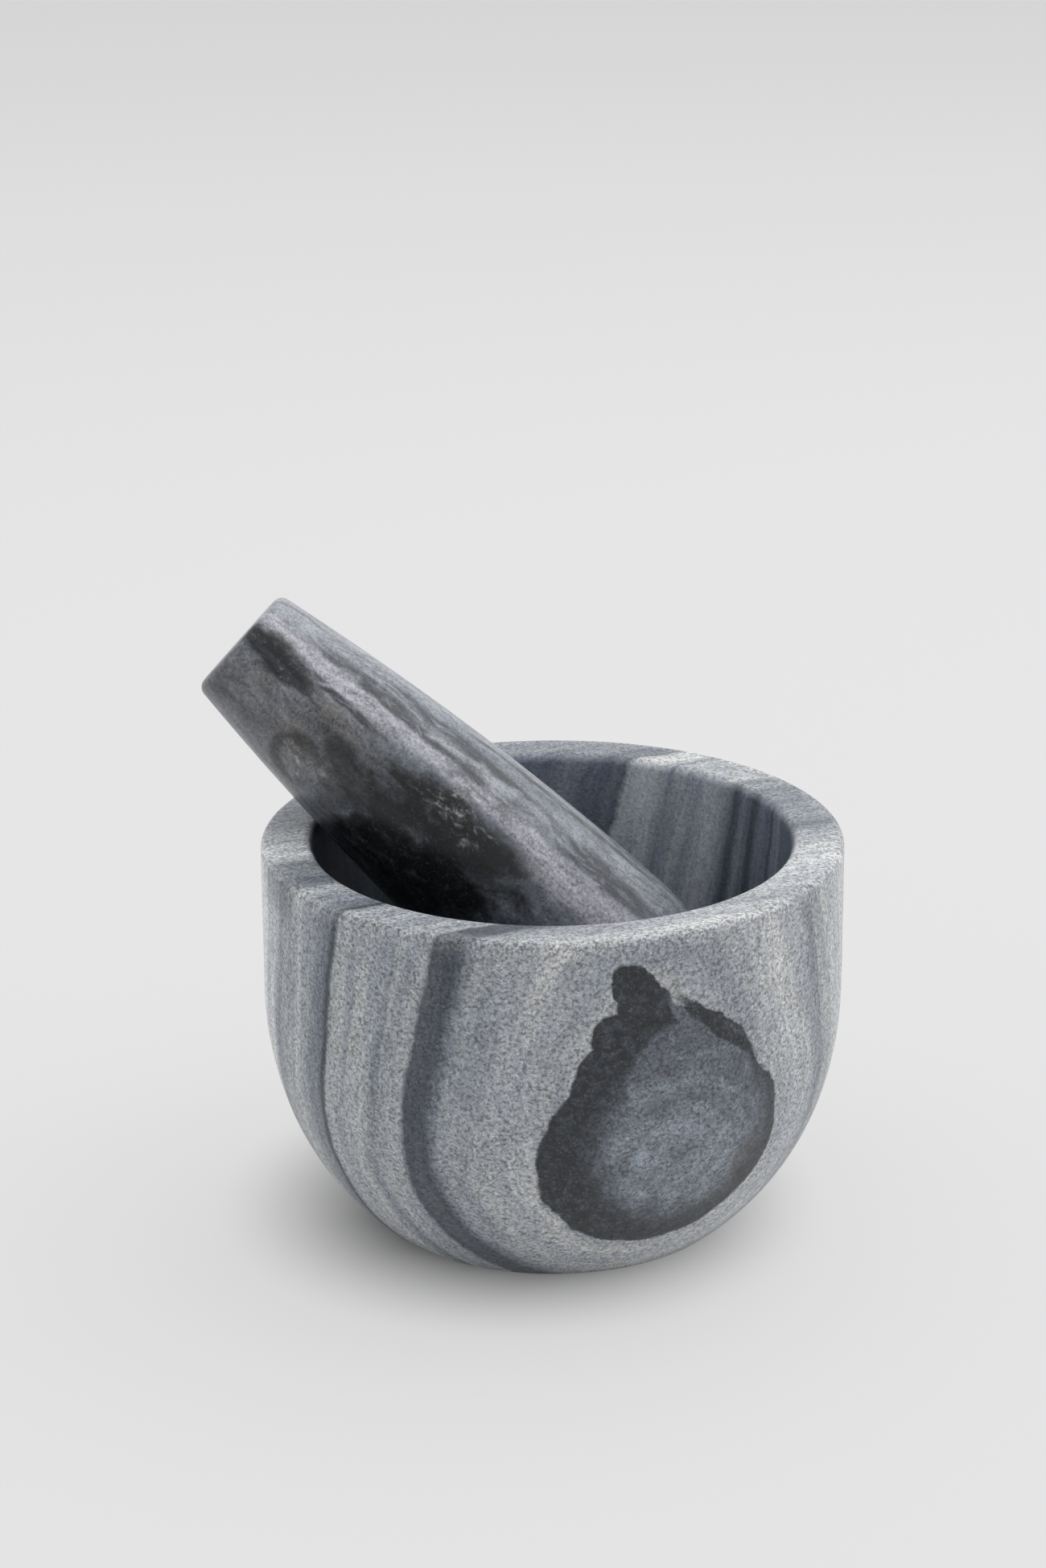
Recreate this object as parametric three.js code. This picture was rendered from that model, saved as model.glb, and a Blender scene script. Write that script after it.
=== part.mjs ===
// Mortar and pestle: a turned stone bowl with a loose, club-shaped stone pestle leaning in it.
//
// Millimetres, +Z up. The origin is the centre of the bowl's flat base, on the surface it stands on.
// The pestle leans towards -X: its flat end is up and outside the bowl, its round nose is in the bowl.
// It touches the bowl in two places, the inner edge of the rim and the wall beside the floor. Both
// keep a gap of about 0.3 mm, so that the two stones stay separate solids.

import * as THREE from 'three';

// Mortar: driving dimensions.
const OUTER_RADIUS = 60;
const HEIGHT = 82.7;
const BASE_RADIUS = 36.3;
const STRAIGHT_WALL_BOTTOM = 51.7; // the wall is upright above this height and curves in below it
const OUTER_POWER = 2.1; // exponent of the superellipse below the straight wall; 2 is a plain ellipse
const BORE_RADIUS = 49.2; // inside radius of the straight wall
const FLOOR_THICKNESS = 17.5; // stone under the deepest point of the bowl
const RIM_OUTER_ROUND = 1.4;
const RIM_INNER_ROUND = 1.9;

// Pestle: driving dimensions, measured along its own axis from the nose.
const PESTLE_LENGTH = 137;
const NOSE_LENGTH = 40; // the nose is half an ellipse from the tip to the widest section
const WIDEST_RADIUS = 20.8;
const END_RADIUS = 13.1; // at the flat end, before its edge is rounded
const TAPER_POWER = 1.86; // how quickly the body swells away from the flat end
const END_ROUND = 2.3;

// Where the pestle rests.
const TIP_POSITION = [37.1, -4.8, 30.2];
const LEAN_FROM_UPRIGHT = THREE.MathUtils.degToRad(48.95);
const LEAN_HEADING = THREE.MathUtils.degToRad(169); // the way its flat end points, from +X towards +Y

// Facets.
const MORTAR_SIDES = 76;
const PESTLE_SIDES = 44;
const OUTER_CURVE_STEPS = 11;
const INNER_CURVE_STEPS = 14;
const NOSE_STEPS = 10;
const TAPER_STEPS = 9;
const ROUND_STEPS = 3;

function marble(name, color, roughness) {
  const material = new THREE.MeshStandardMaterial({ color, roughness, metalness: 0 });
  material.name = name;
  return material;
}

// Points of a profile at equal steps of a parameter from 0 to 1. Each point is (radius, height).
function trace(steps, pointAt) {
  const points = [];
  for (let step = 0; step <= steps; step += 1) {
    points.push(pointAt(step / steps));
  }
  return points;
}

// Quarter circle that rounds an edge, from angle `from` to angle `to` about its centre.
function roundedEdge(centreRadius, centreHeight, round, from, to) {
  return trace(ROUND_STEPS, (t) => {
    const angle = from + (to - from) * t;
    return new THREE.Vector2(centreRadius + round * Math.cos(angle), centreHeight + round * Math.sin(angle));
  });
}

// The outside below the straight wall: a superellipse whose full depth is set by the base radius.
function outerCurve() {
  const power = OUTER_POWER;
  const cut = (1 - (BASE_RADIUS / OUTER_RADIUS) ** power) ** (1 / power);
  const depth = STRAIGHT_WALL_BOTTOM / cut;
  const baseAngle = Math.asin(cut ** (power / 2));
  return trace(OUTER_CURVE_STEPS, (t) => {
    const angle = baseAngle * (1 - t);
    return new THREE.Vector2(
      OUTER_RADIUS * Math.cos(angle) ** (2 / power),
      STRAIGHT_WALL_BOTTOM - depth * Math.sin(angle) ** (2 / power),
    );
  });
}

// The inside below the straight wall: a quarter ellipse that ends flat at the bottom of the bowl.
function innerCurve() {
  const depth = STRAIGHT_WALL_BOTTOM - FLOOR_THICKNESS;
  return trace(INNER_CURVE_STEPS, (t) => {
    const angle = (Math.PI / 2) * t;
    const radius = t === 1 ? 0 : BORE_RADIUS * Math.cos(angle);
    return new THREE.Vector2(radius, STRAIGHT_WALL_BOTTOM - depth * Math.sin(angle));
  });
}

// From the centre of the base, up the outside, over the rim and down the inside to the axis.
function mortarProfile() {
  const outerEdge = [OUTER_RADIUS - RIM_OUTER_ROUND, HEIGHT - RIM_OUTER_ROUND, RIM_OUTER_ROUND];
  const innerEdge = [BORE_RADIUS + RIM_INNER_ROUND, HEIGHT - RIM_INNER_ROUND, RIM_INNER_ROUND];
  const baseCentre = outerCurve()[0].clone().setX(0);
  return [
    baseCentre,
    ...outerCurve(),
    ...roundedEdge(...outerEdge, 0, Math.PI / 2),
    ...roundedEdge(...innerEdge, Math.PI / 2, Math.PI),
    ...innerCurve(),
  ];
}

// From the tip of the nose to the widest section, along the taper, and over the edge of the flat end.
function pestleProfile() {
  const nose = trace(NOSE_STEPS, (t) => {
    const angle = (Math.PI / 2) * t;
    const radius = t === 0 ? 0 : WIDEST_RADIUS * Math.sin(angle);
    return new THREE.Vector2(radius, NOSE_LENGTH * (1 - Math.cos(angle)));
  });
  const taperLength = PESTLE_LENGTH - END_ROUND - NOSE_LENGTH;
  const taper = trace(TAPER_STEPS, (t) => {
    const swell = 1 - t ** TAPER_POWER;
    return new THREE.Vector2(END_RADIUS + (WIDEST_RADIUS - END_RADIUS) * swell, NOSE_LENGTH + taperLength * t);
  });
  const edge = roundedEdge(END_RADIUS - END_ROUND, PESTLE_LENGTH - END_ROUND, END_ROUND, 0, Math.PI / 2);
  return [...nose, ...taper.slice(1), ...edge.slice(1), new THREE.Vector2(0, PESTLE_LENGTH)];
}

// A profile turned about the vertical axis.
function turned(profile, sides) {
  const geometry = new THREE.LatheGeometry(profile, sides);
  geometry.rotateX(Math.PI / 2);
  return geometry;
}

function makeMortar() {
  const mortar = new THREE.Mesh(turned(mortarProfile(), MORTAR_SIDES), marble('mortar_marble', 0xa9adb2, 0.72));
  mortar.name = 'mortar';
  return mortar;
}

function makePestle() {
  const pestle = new THREE.Mesh(turned(pestleProfile(), PESTLE_SIDES), marble('pestle_marble', 0x63666d, 0.42));
  pestle.name = 'pestle';
  pestle.rotation.y = LEAN_FROM_UPRIGHT;
  return pestle;
}

// The pestle is tipped over in a group that turns it to its heading and carries its nose into the bowl.
function restingPestle() {
  const rest = new THREE.Group();
  rest.add(makePestle());
  rest.rotation.z = LEAN_HEADING;
  rest.position.set(...TIP_POSITION);
  return rest;
}

const mortarAndPestle = new THREE.Group();
mortarAndPestle.add(makeMortar(), restingPestle());

export default mortarAndPestle;
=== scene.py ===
"""Mortar and pestle in banded grey marble: fine meshes, solid stone materials, plain pale studio."""

import math
import bpy
from mathutils import Euler, Matrix, Vector, noise


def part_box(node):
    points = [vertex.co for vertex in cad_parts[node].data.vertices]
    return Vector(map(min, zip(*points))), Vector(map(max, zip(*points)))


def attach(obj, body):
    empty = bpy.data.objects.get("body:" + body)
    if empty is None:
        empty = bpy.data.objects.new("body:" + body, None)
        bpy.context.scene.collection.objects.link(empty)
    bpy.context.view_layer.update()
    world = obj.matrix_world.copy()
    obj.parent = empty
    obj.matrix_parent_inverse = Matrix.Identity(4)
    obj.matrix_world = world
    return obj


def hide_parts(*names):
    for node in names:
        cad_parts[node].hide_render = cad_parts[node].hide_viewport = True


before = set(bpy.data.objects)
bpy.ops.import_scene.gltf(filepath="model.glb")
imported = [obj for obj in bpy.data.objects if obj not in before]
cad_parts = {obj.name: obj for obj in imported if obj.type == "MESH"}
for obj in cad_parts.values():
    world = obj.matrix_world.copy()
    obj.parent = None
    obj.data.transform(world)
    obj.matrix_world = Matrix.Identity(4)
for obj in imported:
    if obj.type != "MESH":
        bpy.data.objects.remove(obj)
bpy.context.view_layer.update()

MM = 0.001

# The mortar's shape, in millimetres. Its radius and height come from the frame.
mortar_low, mortar_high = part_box("mortar")
OUTER_RADIUS = (mortar_high.x - mortar_low.x) / 2 / MM
HEIGHT = mortar_high.z / MM
BASE_RADIUS = 36.3
BASE_ROUND = 1.0
STRAIGHT_WALL_BOTTOM = 51.7
OUTER_POWER = 2.1
BORE_RADIUS = 49.2
FLOOR_THICKNESS = 17.5
RIM_OUTER_ROUND = 1.4
RIM_INNER_ROUND = 1.9
MORTAR_SIDES = 256
MORTAR_UNEVENNESS = 0.12

# The pestle's shape, in millimetres along its own axis from the nose, and where it rests.
PESTLE_LENGTH = 137
NOSE_LENGTH = 40
WIDEST_RADIUS = 20.8
END_RADIUS = 13.1
TAPER_POWER = 1.86
END_ROUND = 2.3
PESTLE_SIDES = 160
PESTLE_UNEVENNESS = 0.08
TIP_POSITION = (37.1, -4.8, 30.2)
LEAN_FROM_UPRIGHT = math.radians(48.95)
LEAN_HEADING = math.radians(169)

# The camera. Its aim is a share of the mortar's radius to the left and of its height upwards.
AIM_LEFT = 0.0994
AIM_UP = 1.1335
CAMERA_PITCH = math.radians(19.81)
CAMERA_ROLL = math.radians(-0.355)
CAMERA_DISTANCE = 824.1 * MM
CAMERA_LENS = 92.35
CAMERA_SENSOR = 36

# The room's light: its brightest direction, and its brightness there and opposite.
ROOM_BRIGHT_SIDE = (0, 0.8, 0.6)
ROOM_BRIGHT = 0.94
ROOM_DIM = 0.36

# The soft light overhead, in metres and watts.
SOFTBOX_PLACE = (0.55, 0.35, 1.25)
SOFTBOX_AIM = (0, 0, 0.05)
SOFTBOX_WIDTH = 1.5
SOFTBOX_WATTS = 6.5

# The floor's half width in metres, its grey, and the glow that keeps it pale. In millimetres, the glow
# grows from nothing at the shadow's core to full at its edge, and falls off by GLOW_LOST behind.
FLOOR_REACH = 8.0
FLOOR_GREY = 0.235
FLOOR_GLOW = 0.516
SHADOW_CENTRE = (-8, 0, 0)
SHADOW_CORE = 19
SHADOW_EDGE = 66
FALL_OFF_START = 100
FALL_OFF_END = 2200
GLOW_LOST = 0.12


# ---------------------------------------------------------------- turned meshes


def trace(steps, point_at):
    """Points of a profile at equal steps of a parameter from 0 to 1, as (radius, height)."""
    return [point_at(step / steps) for step in range(steps + 1)]


def arc(centre_radius, centre_height, size, start, end, steps=8):
    """Part of a circle, from angle start to angle end in degrees."""

    def point_at(t):
        angle = math.radians(start + (end - start) * t)
        return (centre_radius + size * math.cos(angle), centre_height + size * math.sin(angle))

    return trace(steps, point_at)


def outer_curve(steps=64):
    """The outside below the straight wall, a superellipse cut off by the base."""
    power = OUTER_POWER
    cut = (1 - (BASE_RADIUS / OUTER_RADIUS) ** power) ** (1 / power)
    depth = STRAIGHT_WALL_BOTTOM / cut
    base_angle = math.asin(cut ** (power / 2))

    def point_at(t):
        angle = base_angle * (1 - t)
        radius = OUTER_RADIUS * math.cos(angle) ** (2 / power)
        return (radius, STRAIGHT_WALL_BOTTOM - depth * math.sin(angle) ** (2 / power))

    return trace(steps, point_at)


def inner_curve(steps=64):
    """The inside below the straight wall, a quarter ellipse that ends on the axis."""
    depth = STRAIGHT_WALL_BOTTOM - FLOOR_THICKNESS

    def point_at(t):
        angle = math.pi / 2 * t
        return (BORE_RADIUS * math.cos(angle), STRAIGHT_WALL_BOTTOM - depth * math.sin(angle))

    return trace(steps, point_at)


def straight(start, end, steps):
    """Points between two ends, both left out."""
    between = [step / steps for step in range(1, steps)]
    return [tuple(a + (b - a) * t for a, b in zip(start, end)) for t in between]


def mortar_profile():
    outside = outer_curve()
    foot = [(0, 0), *straight((0, 0), (BASE_RADIUS - BASE_ROUND, 0), 12), (BASE_RADIUS - BASE_ROUND, 0)]
    outside = [point for point in outside if point[1] > BASE_ROUND * 0.6]
    rim_edge = arc(OUTER_RADIUS - RIM_OUTER_ROUND, HEIGHT - RIM_OUTER_ROUND, RIM_OUTER_ROUND, 0, 90)
    bore_edge = arc(BORE_RADIUS + RIM_INNER_ROUND, HEIGHT - RIM_INNER_ROUND, RIM_INNER_ROUND, 90, 180)
    inside = inner_curve()
    return [
        *foot,
        *outside,
        *straight(outside[-1], rim_edge[0], 28),
        *rim_edge,
        *straight(rim_edge[-1], bore_edge[0], 10),
        *bore_edge,
        *straight(bore_edge[-1], inside[0], 26),
        *inside,
    ]


def pestle_profile():
    def nose_at(t):
        angle = math.pi / 2 * t
        return (WIDEST_RADIUS * math.sin(angle), NOSE_LENGTH * (1 - math.cos(angle)))

    taper_length = PESTLE_LENGTH - END_ROUND - NOSE_LENGTH

    def taper_at(t):
        swell = 1 - t**TAPER_POWER
        return (END_RADIUS + (WIDEST_RADIUS - END_RADIUS) * swell, NOSE_LENGTH + taper_length * t)

    edge = arc(END_RADIUS - END_ROUND, PESTLE_LENGTH - END_ROUND, END_ROUND, 0, 90, 10)
    flat_end = straight(edge[-1], (0, PESTLE_LENGTH), 6)
    return [*trace(40, nose_at), *trace(80, taper_at)[1:], *edge[1:], *flat_end, (0, PESTLE_LENGTH)]


def turned_piece(name, profile, sides, unevenness, place=Matrix.Identity(4)):
    """A closed body turned about its axis, with a hand-finished unevenness of that many millimetres."""
    vertices, rings = [], []
    for index, (radius, height) in enumerate(profile):
        on_axis = index in (0, len(profile) - 1)
        start = len(vertices)
        for side in range(1 if on_axis else sides):
            angle = 2 * math.pi * side / sides
            point = Vector((radius * math.cos(angle), radius * math.sin(angle), height))
            ripple = noise.noise(point / 24) + 0.35 * noise.noise(point / 7)
            if radius > 1 and 1 < height:
                point -= Vector((point.x, point.y, 0)).normalized() * unevenness * abs(ripple)
            vertices.append(place @ (point * MM))
        rings.append(range(start, len(vertices)))
    faces = []
    for lower, upper in zip(rings, rings[1:]):
        for side in range(sides):
            following = (side + 1) % sides
            if len(lower) == 1:
                faces.append((lower[0], upper[following], upper[side]))
            elif len(upper) == 1:
                faces.append((lower[side], lower[following], upper[0]))
            else:
                faces.append((lower[side], lower[following], upper[following], upper[side]))
    mesh = bpy.data.meshes.new(name)
    mesh.from_pydata(vertices, [], faces)
    mesh.shade_smooth()
    piece = bpy.data.objects.new(name, mesh)
    bpy.context.scene.collection.objects.link(piece)
    return piece


# ---------------------------------------------------------------- node helpers


def srgb(red, green, blue):
    """A colour given on the usual 0 to 255 scale, as the linear colour that a node takes."""

    def linear(value):
        value /= 255
        return value / 12.92 if value <= 0.04045 else ((value + 0.055) / 1.055) ** 2.4

    return (linear(red), linear(green), linear(blue), 1)


def stone(tone):
    """The stone's grey of that tone from 0 to 255: slate blue when dark, and neutral when pale."""
    cool = (1.5 + 4 * max(0, min(1, (186 - tone) / 50))) * min(1, tone / 60)
    return srgb(tone - cool, tone, tone + 1.5 * cool)


class Graph:
    """Short calls for building the node tree of one material."""

    def __init__(self, material):
        material.use_nodes = True
        self.tree = material.node_tree
        self.shader = self.tree.nodes["Principled BSDF"]

    def node(self, kind, **settings):
        made = self.tree.nodes.new(kind)
        for name, value in settings.items():
            setattr(made, name, value)
        return made

    def feed(self, socket, value):
        if isinstance(value, bpy.types.NodeSocket):
            self.tree.links.new(value, socket)
        else:
            socket.default_value = value

    def math(self, operation, *values, clamp=False):
        made = self.node("ShaderNodeMath", operation=operation, use_clamp=clamp)
        for socket, value in zip(made.inputs, values):
            self.feed(socket, value)
        return made.outputs[0]

    def vector(self, operation, first, second=None, scale=None):
        made = self.node("ShaderNodeVectorMath", operation=operation)
        self.feed(made.inputs[0], first)
        if second is not None:
            self.feed(made.inputs[1], second)
        if scale is not None:
            self.feed(made.inputs["Scale"], scale)
        return made.outputs["Value" if operation in ("DOT_PRODUCT", "DISTANCE", "LENGTH") else "Vector"]

    def combine(self, x, y, z):
        made = self.node("ShaderNodeCombineXYZ")
        for socket, value in zip(made.inputs, (x, y, z)):
            self.feed(socket, value)
        return made.outputs[0]

    def noise(self, point, size, detail=2.0, rough=0.5):
        """Smooth noise from 0 to 1 whose blobs are about that many millimetres wide."""
        made = self.node("ShaderNodeTexNoise")
        self.feed(made.inputs["Vector"], point)
        made.inputs["Scale"].default_value = 1 / size
        made.inputs["Detail"].default_value = detail
        made.inputs["Roughness"].default_value = rough
        return made.outputs["Fac"]

    def warped(self, point, stretch, size, reach):
        """The point pushed about by up to that reach, then squeezed so that patterns are drawn out."""
        made = self.node("ShaderNodeTexNoise")
        self.feed(made.inputs["Vector"], point)
        made.inputs["Scale"].default_value = 1 / size
        centred = self.vector("SUBTRACT", made.outputs["Color"], (0.5, 0.5, 0.5))
        pushed = self.vector("ADD", point, self.vector("SCALE", centred, scale=2 * reach))
        return self.vector("MULTIPLY", pushed, stretch)

    def crystals(self, point, size):
        """A random value from 0 to 1 for each grain of that many millimetres."""
        made = self.node("ShaderNodeTexVoronoi")
        self.feed(made.inputs["Vector"], point)
        made.inputs["Scale"].default_value = 1 / size
        split = self.node("ShaderNodeSeparateColor")
        self.tree.links.new(made.outputs["Color"], split.inputs[0])
        return split.outputs[0]

    def swing(self, value, amount):
        """Turns a 0 to 1 value into one that swings by that amount either side of 0."""
        return self.math("MULTIPLY", self.math("SUBTRACT", value, 0.5), 2 * amount)

    def total(self, *values):
        """The sum of several values."""
        result = values[0]
        for value in values[1:]:
            result = self.math("ADD", result, value)
        return result

    def product(self, *values):
        """Several values multiplied together."""
        result = values[0]
        for value in values[1:]:
            result = self.math("MULTIPLY", result, value)
        return result

    def opposite(self, value):
        """1 where value is 0, and 0 where it is 1."""
        return self.math("SUBTRACT", 1.0, value)

    def smooth(self, value, start, end, top=1):
        """0 where value is at start, top (1) where it is at end, and eased in between."""
        made = self.node("ShaderNodeMapRange", interpolation_type="SMOOTHSTEP")
        self.feed(made.inputs["Value"], value)
        made.inputs["From Min"].default_value = min(start, end)
        made.inputs["From Max"].default_value = max(start, end)
        made.inputs["To Min"].default_value = 0 if start < end else top
        made.inputs["To Max"].default_value = top if start < end else 0
        return made.outputs[0]

    def mix(self, factor, first, second):
        made = self.node("ShaderNodeMix", data_type="RGBA")
        self.feed(made.inputs["Factor"], factor)
        self.feed(made.inputs[6], first)
        self.feed(made.inputs[7], second)
        return made.outputs[2]

    def bands(self, value, stops):
        """A grey for each place along the layers. Stops are (millimetres, tone)."""
        low, high = stops[0][0], stops[-1][0]
        made = self.node("ShaderNodeValToRGB")
        share = self.math("DIVIDE", self.math("SUBTRACT", value, low), high - low, clamp=True)
        self.feed(made.inputs[0], share)
        elements = made.color_ramp.elements
        for index, (place, tone) in enumerate(stops):
            position = (place - low) / (high - low)
            if index == 0:
                element = elements[0]
            elif index == len(stops) - 1:
                element = elements[len(elements) - 1]
            else:
                element = elements.new(position)
            element.position = position
            element.color = stone(tone)
        return made.outputs[0]

    def stripe(self, value, middle, half_width):
        """1 where value is near the middle of a stripe, and 0 outside it."""
        off = self.math("ABSOLUTE", self.math("SUBTRACT", value, middle))
        return self.smooth(off, half_width, 0.4 * half_width)

    def most(self, *values):
        """The largest of several values."""
        result = values[0]
        for value in values[1:]:
            result = self.math("MAXIMUM", result, value)
        return result

    def bumps(self, height, strength, distance):
        """Small bumps of that many millimetres on the surface."""
        bump = self.node("ShaderNodeBump")
        bump.inputs["Strength"].default_value = strength
        bump.inputs["Distance"].default_value = distance * MM
        self.feed(bump.inputs["Height"], height)
        self.feed(self.shader.inputs["Normal"], bump.outputs[0])

    def oval(self, across, up, centre, half_width, half_height, tilt=0.0):
        """How far outside an oval a place is: below 1 inside it, 1 on its edge."""
        turn = math.radians(tilt)
        x = self.math("SUBTRACT", across, centre[0])
        y = self.math("SUBTRACT", up, centre[1])
        along = self.total(self.product(x, math.cos(turn)), self.product(y, math.sin(turn)))
        over = self.math("SUBTRACT", self.product(y, math.cos(turn)), self.product(x, math.sin(turn)))
        share_along = self.math("DIVIDE", along, half_width)
        share_over = self.math("DIVIDE", over, half_height)
        return self.vector("LENGTH", self.combine(share_along, share_over, 0.0))

    def paint(self, colour, tone):
        """Gives the material that colour, made paler or darker by the tone."""
        self.feed(self.shader.inputs["Base Color"], self.vector("SCALE", colour, scale=tone))

    def polish(self, point, roughness):
        """A finish of about that roughness, which varies a little from place to place."""
        varied = self.math("ADD", roughness, self.swing(self.noise(point, 2, 3), 0.12))
        self.feed(self.shader.inputs["Roughness"], varied)


def object_millimetres(graph):
    """The place inside the stone, in millimetres of the part's own frame."""
    coordinates = graph.node("ShaderNodeTexCoord")
    return graph.vector("SCALE", coordinates.outputs["Object"], scale=1 / MM)


def direction(azimuth, elevation):
    """A unit vector. Azimuth 0 points to the front (-Y), 90 to the right (+X)."""
    a, e = math.radians(azimuth), math.radians(elevation)
    return Vector((math.sin(a) * math.cos(e), -math.cos(a) * math.cos(e), math.sin(e)))


# ---------------------------------------------------------------- mortar marble

# The layers' direction: depth runs along the normal, and the other two run along the layers.
LAYER_AZIMUTH = 21.4
LAYER_ELEVATION = -8.5
LAYER_NORMAL = direction(LAYER_AZIMUTH, LAYER_ELEVATION)
LAYER_ACROSS = direction(LAYER_AZIMUTH + 90, 0)
LAYER_UP = LAYER_NORMAL.cross(LAYER_ACROSS)

WHITE = (1, 1, 1, 1)
SLATE = stone(96)
STREAK_PALE = (1.13, 1.13, 1.11, 1)
STREAK_BLUE = (0.81, 0.84, 0.89, 1)
INNER_COOL = (0.955, 1.0, 1.075, 1)
INK_AND_SHADE = stone(38)
EYE_EDGE = stone(66)
EYE_SLATE = stone(98)
EYE_MIST = srgb(144, 152, 163)
EYE_BROWN = srgb(82, 78, 78)
DUST_AND_GLINT = stone(215)

# Bands on the left of the bowl, as (depth in millimetres, tone). The pale tones from -28 to -11 are partly
# painted sheen, the bright grazing reflection along the bowl's left side.
LEFT_BANDS_AND_SHEEN = [
    (-62, 150),
    (-46, 142),
    (-40, 160),
    (-28, 212),
    (-20, 220),
    (-17, 208),
    (-14, 192),
    (-11, 200),
    (-8, 144),
    (-3, 160),
    (1, 176),
    (3, 158),
    (6, 138),
    (9.4, 118),
    (10.1, 70),
    (11.0, 66),
    (11.4, 156),
    (14, 170),
    (21, 176),
    (24, 142),
    (26, 166),
    (29.8, 160),
    (30.4, 84),
    (34.2, 76),
    (35, 118),
    (36.4, 146),
    (40, 166),
    (43, 188),
    (47, 172),
    (62, 160),
]

# Bands on the right and at the back. The pale tones from 21 to 29 are partly painted sheen, the bright
# grazing reflection along the bowl's right side.
RIGHT_BANDS_AND_SHEEN = [
    (-62, 140),
    (-56, 140),
    (-48.8, 118),
    (-48, 190),
    (-44, 200),
    (-41, 166),
    (-37, 184),
    (-31, 184),
    (-27.4, 176),
    (-26.6, 140),
    (-25, 136),
    (-23.6, 166),
    (-21.6, 152),
    (-20.6, 132),
    (-17, 142),
    (-12, 138),
    (-6, 148),
    (-3, 152),
    (-0.5, 140),
    (1.5, 112),
    (3, 118),
    (5, 158),
    (10, 180),
    (21, 197),
    (29, 198),
    (32.5, 180),
    (36.5, 148),
    (38.5, 184),
    (43, 196),
    (47, 172),
    (62, 160),
]


# Dark stripes inside the bowl, as (depth, half width) in millimetres.
INNER_STRIPES = [(-24.8, 1.5), (-18.4, 2.0), (-11, 0.9)]


class BowlPlace:
    """A place in the mortar's stone, measured in the ways that its marbling needs."""

    def __init__(self, graph):
        point = object_millimetres(graph)
        self.point = point
        self.depth = graph.vector("DOT_PRODUCT", point, LAYER_NORMAL)
        self.across = graph.vector("DOT_PRODUCT", point, LAYER_ACROSS)
        self.up = graph.vector("DOT_PRODUCT", point, LAYER_UP)
        self.height = graph.vector("DOT_PRODUCT", point, (0, 0, 1))
        self.radius = graph.vector("LENGTH", graph.vector("MULTIPLY", point, (1, 1, 0)))
        in_bore = graph.smooth(self.radius, BORE_RADIUS + 1.2, BORE_RADIUS + 0.2)
        self.inside = graph.product(in_bore, graph.smooth(self.height, 26, 34))
        # The layers wander a little, and their edges are feathered.
        wander = graph.swing(graph.noise(point, 38, 2), 3.0)
        ragged = graph.swing(graph.noise(point, 3, 4, 0.6), 0.6)
        self.layer = graph.math("ADD", self.depth, graph.math("ADD", wander, ragged))


def banded(graph, place):
    """The grey bands: one set on the left, and another on the right and at the back, both partly painted
    sheen at the bowl's sides.
    """
    right = graph.smooth(place.across, -16, 8)
    return graph.mix(right, graph.bands(place.layer, LEFT_BANDS_AND_SHEEN), graph.bands(place.layer, RIGHT_BANDS_AND_SHEEN))


def darker_inside(graph, place, colour):
    """Inside the bowl: painted shade that darkens the stone, to near-black on the left, a cooler tint and
    dark stripes; and a dark patch high at the back left.
    """
    # Painted shade: on the right, the inside of the bowl is darkened towards slate.
    darkening = graph.most(graph.smooth(place.depth, -31, -27, 0.45), graph.smooth(place.depth, -9, -4, 0.9))
    inner_right_shade = graph.product(place.inside, darkening)
    inner_left_shade = graph.product(place.inside, graph.smooth(place.across, 0, -18, 0.85))
    high_left = graph.product(
        graph.smooth(place.depth, -1, -5),
        graph.smooth(place.depth, -22, -16),
        graph.smooth(place.across, -22, -36),
        graph.smooth(place.height, 72, 82, 0.66),
    )
    colour = graph.mix(graph.most(inner_right_shade, high_left), colour, SLATE)
    # Painted shade: near-black on the left inside the bowl.
    colour = graph.mix(inner_left_shade, colour, INK_AND_SHADE)
    stripes = graph.most(*[graph.stripe(place.layer, *stripe) for stripe in INNER_STRIPES])
    colour = graph.mix(graph.product(place.inside, stripes, 0.5), colour, INK_AND_SHADE)
    return graph.vector("MULTIPLY", colour, graph.mix(place.inside, WHITE, INNER_COOL))


def streaked(graph, place, colour):
    """Broad pale and bluish streaks along the layers, and the tone of the thin ones."""
    along = graph.combine(place.layer, graph.product(place.across, 0.06), graph.product(place.up, 0.06))
    broad = graph.smooth(graph.noise(along, 3.0, 3, 0.65), 0.6, 0.38)
    colour = graph.vector("MULTIPLY", colour, graph.mix(broad, STREAK_PALE, STREAK_BLUE))
    thin = graph.swing(graph.smooth(graph.noise(along, 0.9, 3, 0.6), 0.3, 0.7), 0.1)
    return colour, thin


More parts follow.
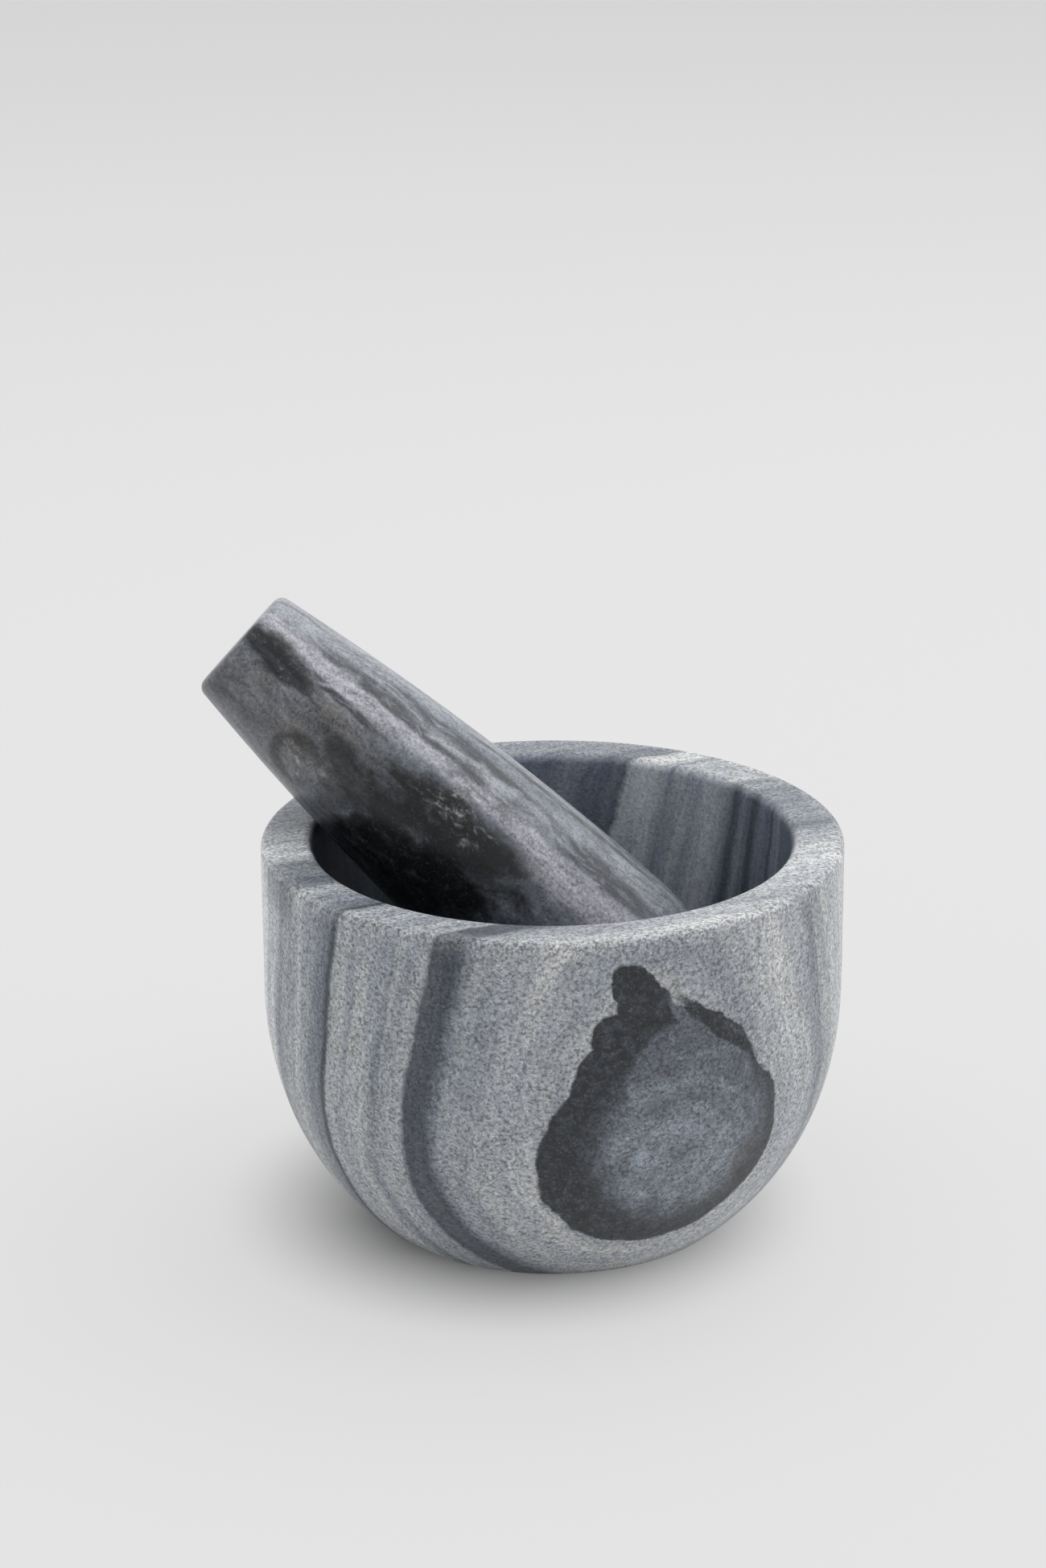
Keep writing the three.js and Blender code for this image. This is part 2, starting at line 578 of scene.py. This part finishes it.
def eye_masks(graph, place):
    """The eye's dark outline, the misty stone and brown patch in it, and the rings around its middle."""
    fine = graph.swing(graph.noise(place.point, 1.6, 3, 0.6), 0.65)
    x = graph.total(place.across, graph.swing(graph.noise(place.point, 8, 2), 1.3), fine)
    y = graph.total(place.up, graph.swing(graph.noise(place.point, 10, 2), 1.3), fine)

    def shape(centre, half_width, half_height, tilt, outer, inner):
        return graph.smooth(graph.oval(x, y, centre, half_width, half_height, tilt), outer, inner)

    body = shape((1, 43.5), 26, 24.3, 0, 1.015, 0.985)
    roof = shape((0.7, 56), 20.3, 19.5, 0, 1.02, 0.985)
    knob = shape((-6, 79.6), 6.8, 4.5, -52, 1.06, 0.95)
    neck = shape((-4.0, 74.4), 7.4, 6, -60, 1.06, 0.95)
    lobe = shape((-10, 70.5), 5.6, 5, 0, 1.08, 0.94)
    streak = shape((11.6, 69.4), 11.6, 1.5, -43, 1.25, 0.75)
    patch = shape((21.5, 36), 4.6, 6.5, 20, 1.2, 0.7)
    mist = graph.most(
        shape((5.2, 46), 19.4, 20, 0, 1.2, 0.68),
        shape((5.6, 58.3), 14.2, 14.2, 0, 1.05, 0.92),
        shape((3.4, 73), 6, 1.3, -62, 1.3, 0.7),
    )
    front = graph.smooth(place.depth, 41.5, 44.5)
    blot = graph.product(graph.most(body, roof, knob, neck, lobe), front)
    dark = graph.most(blot, graph.product(streak, front))
    mist = graph.product(mist, dark, graph.opposite(streak))
    return dark, mist, patch, graph.oval(x, y, (3, 43), 21, 17)


def with_eye(graph, place, colour):
    """The eye on the front: a near-black outline around misty rings."""
    dark, mist, patch, rings = eye_masks(graph, place)
    ring_place = graph.combine(graph.product(rings, 9.0), graph.product(place.across, 0.04), 0.0)
    swirl = graph.total(
        graph.swing(graph.noise(ring_place, 1, 4, 0.65), 0.6),
        graph.swing(graph.noise(place.point, 5, 6, 0.65), 1.0),
        graph.smooth(rings, 1.5, 0.3, 0.62),
    )
    middle = graph.mix(graph.smooth(swirl, -0.1, 1.0), EYE_SLATE, EYE_MIST)
    middle = graph.mix(graph.product(patch, 0.7), middle, EYE_BROWN)
    mottling = graph.smooth(graph.noise(place.point, 2.2, 5, 0.65), 0.42, 0.66)
    colour = graph.mix(dark, colour, graph.mix(mottling, INK_AND_SHADE, EYE_EDGE))
    return graph.mix(mist, colour, middle)


def rim_edge_mask(graph, place):
    """1 on the rim's outer edge, and 0 a few millimetres away from it."""
    outwards = graph.math("SUBTRACT", place.radius, OUTER_RADIUS - 0.6)
    upwards = graph.math("SUBTRACT", place.height, HEIGHT - 0.6)
    return graph.smooth(graph.vector("LENGTH", graph.combine(outwards, upwards, 0.0)), 3.6, 0.6)


def mortar_marble():
    material = bpy.data.materials.new("honed_banded_marble")
    graph = Graph(material)
    place = BowlPlace(graph)
    point = place.point
    colour, thin = streaked(graph, place, darker_inside(graph, place, banded(graph, place)))
    colour = with_eye(graph, place, colour)

    # The rim's outer edge is worn pale, and a few bright crystals carry painted glints.
    edge = rim_edge_mask(graph, place)
    colour = graph.mix(graph.product(edge, 0.18), colour, DUST_AND_GLINT)
    # Painted glints: single crystals made bright as if catching the light.
    glints = graph.smooth(graph.crystals(point, 0.34), 0.9, 0.97, 0.06)
    colour = graph.mix(glints, colour, DUST_AND_GLINT)

    # Salt-and-pepper grain, fainter inside the bowl, with pits that are deeper along the rim's edge.
    calm = graph.opposite(graph.product(place.inside, 0.5))
    grain = graph.swing(graph.crystals(point, 0.5), 0.27)
    salt = graph.product(graph.smooth(graph.noise(point, 0.55, 2, 0.6), 0.54, 0.68), 0.42)
    pepper = graph.product(graph.smooth(graph.noise(point, 0.75, 3, 0.65), 0.5, 0.4), 0.5)
    pits = graph.smooth(graph.noise(point, 0.95, 2, 0.6), 0.55, 0.64)
    pit_depth = graph.product(pits, graph.math("ADD", 0.12, graph.product(edge, 0.5)))
    specks = graph.product(graph.most(pit_depth, pepper), calm)
    tone = graph.total(1.0, thin, graph.product(graph.total(grain, salt), calm))
    graph.paint(colour, graph.product(tone, graph.opposite(specks)))

    graph.polish(point, 0.42)
    graph.bumps(graph.total(graph.noise(point, 0.5, 3, 0.6), graph.product(pits, -0.7)), 0.5, 0.08)
    return material


# ---------------------------------------------------------------- pestle marble

PESTLE_TURN = Euler((0, LEAN_FROM_UPRIGHT, LEAN_HEADING))
PESTLE_LAYER_NORMAL = Vector((-0.872, -0.463, 0.161)).normalized()

PESTLE_INK_AND_SHADE = stone(22)
PESTLE_SLATE = stone(52)
PESTLE_MIST = stone(190)
PESTLE_LAVENDER = srgb(171, 171, 180)
PESTLE_BROWN = srgb(104, 101, 100)
PESTLE_SMOKE = stone(118)

# Bands of the pestle's stone, as (depth in millimetres, tone). The dark tones from -18 to -1 are partly
# painted shade along the pestle's underside.
PESTLE_BANDS_AND_SHADE = [
    (-30, 88),
    (-18, 56),
    (-8, 58),
    (-1, 70),
    (3, 106),
    (6, 110),
    (10, 82),
    (13, 78),
    (17, 98),
    (20, 116),
    (22, 140),
    (25, 146),
    (27, 122),
    (30, 136),
    (34, 150),
    (42, 140),
]


class Patches:
    """Masks of the patches and veins on the pestle. Each is given by the angle around the pestle, in
    degrees, and the height above its nose, in millimetres, and frayed by the swirl."""

    def __init__(self, graph, point, swirl):
        self.graph, self.point, self.swirl = graph, point, swirl
        self.height = graph.vector("DOT_PRODUCT", point, (0, 0, 1))

    def distance(self, angle, middle, half_around, half_along, tilt, frayed):
        """How far outside a frayed oval a place is, and whether it is on that side of the pestle."""
        graph, turn = self.graph, math.radians(angle)
        around = graph.vector("DOT_PRODUCT", self.point, (-math.sin(turn), math.cos(turn), 0))
        facing = graph.vector("DOT_PRODUCT", self.point, (math.cos(turn), math.sin(turn), 0))
        shape = graph.oval(self.height, around, (middle, 0), half_along, half_around, tilt)
        return graph.math("ADD", shape, graph.swing(self.swirl, frayed)), graph.smooth(facing, 0, 4)

    def at(self, angle, middle, half_around, half_along, tilt=0, soft=0.3, frayed=0.9):
        """A filled patch: 1 inside it and 0 outside, with a soft edge."""
        shape, facing = self.distance(angle, middle, half_around, half_along, tilt, frayed)
        return self.graph.product(self.graph.smooth(shape, 1 + soft, 1 - soft), facing)

    def ring(self, angle, middle, half_around, half_along, thick, frayed=0.5):
        """Only the outline of a patch."""
        shape, facing = self.distance(angle, middle, half_around, half_along, 0, frayed)
        off = self.graph.math("ABSOLUTE", self.graph.math("SUBTRACT", shape, 1.0))
        return self.graph.product(self.graph.smooth(off, thick, 0.2 * thick), facing)


def soft_patches(graph, patches, clouds, colour):
    """A brownish middle, a smoky nose and lavender veins, all with soft edges; the veins along the top front
    are partly painted light on the pestle's lit upper side.
    """
    at = patches.at
    brown = at(100, 117, 11, 18, 0, 0.5)
    colour = graph.mix(graph.product(brown, 0.8), colour, PESTLE_BROWN)
    cloudy = graph.smooth(clouds, 0.4, 0.62)
    colour = graph.mix(graph.product(cloudy, graph.product(brown, 0.6)), colour, PESTLE_SMOKE)
    smoky = graph.product(graph.smooth(patches.height, 72, 50), graph.smooth(clouds, 0.6, 0.44))
    colour = graph.mix(graph.product(smoky, 0.75), colour, PESTLE_SMOKE)
    # Lavender veins: stone, and along the top front partly painted light on the lit upper side.
    veins = graph.most(
        at(141, 126, 3.2, 30, 2, 0.45, 0.8),
        at(141, 80, 2.4, 30, 2, 0.45, 0.8),
        at(134, 46, 4.2, 17, 0, 0.5, 0.8),
        at(272, 100, 3.4, 32, 3, 0.5, 0.8),
    )
    return graph.mix(graph.product(veins, 0.9), colour, PESTLE_LAVENDER)


def dark_patches(graph, patches, clouds, thin_streaks, colour):
    """Near-black patches, the two large low ones partly painted shade where the pestle lies in the bowl, the
    upper half of a ring around a cloudy spot, and dark veins.
    """
    at = patches.at
    outline = graph.product(patches.ring(72, 112, 5, 6, 0.4), graph.smooth(patches.height, 105, 111))
    # The two large patches low on the front, inside the bowl, are partly dark stone and partly painted
    # shade.
    black = graph.most(
        at(80, 82, 15, 19),
        at(112, 78, 7.0, 17, 6),
        graph.product(at(95, 104, 3.4, 10, 14, 0.5), 0.85),
        at(126, 133, 3.2, 12, 5, 0.5),
        graph.product(outline, 0.7),
        graph.product(at(82, 101, 8, 5, 0, 0.5), 0.7),
        graph.product(at(252, 60, 6, 22, 6, 0.4), 0.85),
    )
    black = graph.product(black, graph.smooth(clouds, 0.84, 0.58))
    colour = graph.mix(black, colour, PESTLE_INK_AND_SHADE)
    veins = graph.most(
        at(130, 113, 0.9, 13, 3, 0.5, 0.6),
        at(119, 127, 0.7, 10, 6, 0.5, 0.6),
        at(151, 104, 1.2, 22, 2, 0.5, 0.6),
        at(157, 110, 1.7, 11, 4, 0.5, 0.6),
        at(165, 90, 1.5, 24, 3, 0.5, 0.6),
        at(154, 49, 2.8, 14, 0, 0.5),
        at(182, 62, 1.0, 26, 0, 0.5, 0.6),
        at(228, 96, 2.2, 30, 3, 0.5),
        at(300, 70, 3.0, 34, -3, 0.5),
    )
    veins = graph.product(veins, graph.smooth(thin_streaks, 0.72, 0.46))
    return graph.mix(graph.product(veins, 0.9), colour, PESTLE_SLATE)


def pale_wisps(graph, patches, point, colour):
    """Pale wisps in the dark stone, strong in four places and faint elsewhere."""
    at = patches.at
    wisps = graph.smooth(graph.noise(graph.warped(point, (1, 1, 0.36), 6, 3), 2.2, 6, 0.66), 0.5, 0.7)
    wispy = graph.most(
        at(125, 79, 4.4, 9, 0, 0.6),
        graph.product(at(78, 112, 5, 5, 0, 0.6), 0.8),
        graph.product(at(124, 128, 4, 9, 0, 0.6), 0.4),
        graph.product(at(158, 98, 3, 16, 0, 0.6), 0.6),
    )
    wisps = graph.product(wisps, graph.math("ADD", 0.05, graph.product(wispy, 0.6)))
    return graph.mix(wisps, colour, PESTLE_MIST)


def pestle_millimetres(graph):
    """The place inside the pestle: along its own axis from the nose, and across it."""
    place = graph.node("ShaderNodeMapping", vector_type="TEXTURE")
    graph.feed(place.inputs["Vector"], object_millimetres(graph))
    place.inputs["Location"].default_value = TIP_POSITION
    place.inputs["Rotation"].default_value = PESTLE_TURN
    return place.outputs[0]


def pestle_marble():
    material = bpy.data.materials.new("smooth_dark_marble")
    graph = Graph(material)
    point = pestle_millimetres(graph)

    # Swirls and clouds are drawn out along the pestle, and thin streaks more so.
    swirl = graph.noise(graph.warped(point, (1, 1, 0.45), 12, 5), 6, 5, 0.55)
    thin_streaks = graph.noise(graph.warped(point, (1, 1, 0.14), 16, 5), 1.9, 4, 0.6)
    clouds = graph.noise(graph.warped(point, (1, 1, 0.5), 12, 4), 5, 6, 0.62)
    depth = graph.vector("DOT_PRODUCT", point, PESTLE_LAYER_NORMAL)
    colour = graph.bands(graph.total(depth, graph.swing(swirl, 4.0)), PESTLE_BANDS_AND_SHADE)

    patches = Patches(graph, point, swirl)
    colour = soft_patches(graph, patches, clouds, colour)
    colour = dark_patches(graph, patches, clouds, thin_streaks, colour)
    colour = pale_wisps(graph, patches, point, colour)

    # A few bright crystals with painted glints, and a fine grain.
    glints = graph.smooth(graph.crystals(point, 0.32), 0.9, 0.97, 0.05)
    colour = graph.mix(glints, colour, PESTLE_MIST)
    streaks = graph.swing(graph.smooth(thin_streaks, 0.32, 0.68), 0.28)
    grain = graph.swing(graph.crystals(point, 0.45), 0.26)
    fleck = graph.swing(graph.smooth(graph.noise(point, 0.7, 3, 0.7), 0.36, 0.64), 0.18)
    graph.paint(colour, graph.total(1.0, streaks, grain, fleck))

    graph.polish(point, 0.3)
    graph.bumps(graph.noise(point, 0.7, 3, 0.6), 0.3, 0.05)
    return material


# ---------------------------------------------------------------- stage


def add_camera():
    camera = bpy.data.objects.new("camera", bpy.data.cameras.new("camera"))
    camera.data.lens = CAMERA_LENS
    camera.data.sensor_width = CAMERA_SENSOR
    camera.data.clip_start = 0.01
    aim = Vector((-AIM_LEFT * OUTER_RADIUS, 0, AIM_UP * HEIGHT)) * MM
    back = Vector((0, -math.cos(CAMERA_PITCH), math.sin(CAMERA_PITCH)))
    level_up = Vector((0, math.sin(CAMERA_PITCH), math.cos(CAMERA_PITCH)))
    right = Vector((1, 0, 0)) * math.cos(CAMERA_ROLL) + level_up * math.sin(CAMERA_ROLL)
    up = back.cross(right)
    turn = Matrix((right, up, back)).transposed()
    camera.matrix_world = Matrix.Translation(aim + back * CAMERA_DISTANCE) @ turn.to_4x4()
    bpy.context.scene.collection.objects.link(camera)
    bpy.context.scene.camera = camera


def pale_paper():
    """The floor's material. Its glow fades out under the bowl, which deepens the contact shadow."""
    material = bpy.data.materials.new("pale_paper")
    graph = Graph(material)
    point = object_millimetres(graph)
    near = graph.smooth(graph.vector("DISTANCE", point, SHADOW_CENTRE), SHADOW_CORE, SHADOW_EDGE, FLOOR_GLOW)
    behind = graph.vector("DOT_PRODUCT", point, (0, 1, 0))
    lost = graph.smooth(behind, FALL_OFF_START, FALL_OFF_END, GLOW_LOST)
    graph.feed(graph.shader.inputs["Emission Strength"], graph.math("SUBTRACT", near, lost))
    graph.shader.inputs["Emission Color"].default_value = WHITE
    graph.shader.inputs["Base Color"].default_value = (FLOOR_GREY, FLOOR_GREY, FLOOR_GREY, 1)
    graph.shader.inputs["Roughness"].default_value = 0.9
    graph.shader.inputs["Specular IOR Level"].default_value = 0.2
    return material


def add_floor():
    mesh = bpy.data.meshes.new("floor")
    r = FLOOR_REACH
    mesh.from_pydata([(-r, -r, 0), (r, -r, 0), (r, r, 0), (-r, r, 0)], [], [(0, 1, 2, 3)])
    mesh.materials.append(pale_paper())
    floor = bpy.data.objects.new("floor", mesh)
    bpy.context.scene.collection.objects.link(floor)


def add_softbox():
    light = bpy.data.lights.new("overhead", "AREA")
    light.shape = "DISK"
    light.size = SOFTBOX_WIDTH
    light.energy = SOFTBOX_WATTS
    lamp = bpy.data.objects.new("overhead", light)
    lamp.location = SOFTBOX_PLACE
    towards_lamp = Vector(SOFTBOX_PLACE) - Vector(SOFTBOX_AIM)
    lamp.rotation_euler = towards_lamp.to_track_quat("Z", "Y").to_euler()
    bpy.context.scene.collection.objects.link(lamp)


def add_daylight():
    """A bright room behind, beside and above the stones, and a dimmer one in front of them."""
    world = bpy.data.worlds.new("studio")
    world.use_nodes = True
    tree = world.node_tree
    looking = tree.nodes.new("ShaderNodeTexCoord")
    facing = tree.nodes.new("ShaderNodeVectorMath")
    facing.operation = "DOT_PRODUCT"
    facing.inputs[1].default_value = ROOM_BRIGHT_SIDE
    ramp = tree.nodes.new("ShaderNodeMapRange")
    ramp.interpolation_type = "SMOOTHSTEP"
    ramp.inputs["From Min"].default_value = -0.9
    ramp.inputs["From Max"].default_value = 0.3
    ramp.inputs["To Min"].default_value = ROOM_DIM
    ramp.inputs["To Max"].default_value = ROOM_BRIGHT
    tree.links.new(looking.outputs["Generated"], facing.inputs[0])
    tree.links.new(facing.outputs["Value"], ramp.inputs["Value"])
    tree.links.new(ramp.outputs["Result"], tree.nodes["Background"].inputs["Strength"])
    tree.nodes["Background"].inputs["Color"].default_value = WHITE
    bpy.context.scene.world = world


# ---------------------------------------------------------------- the two stones

add_camera()
add_floor()
add_daylight()
add_softbox()
bpy.context.scene.view_settings.view_transform = "Standard"

mortar = turned_piece("mortar_stone", mortar_profile(), MORTAR_SIDES, MORTAR_UNEVENNESS)
mortar.data.materials.append(mortar_marble())
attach(mortar, "mortar")
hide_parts("mortar")

pestle_place = Matrix.Translation(Vector(TIP_POSITION) * MM) @ PESTLE_TURN.to_matrix().to_4x4()
pestle = turned_piece("pestle_stone", pestle_profile(), PESTLE_SIDES, PESTLE_UNEVENNESS, pestle_place)
pestle.data.materials.append(pestle_marble())
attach(pestle, "pestle")
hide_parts("pestle")
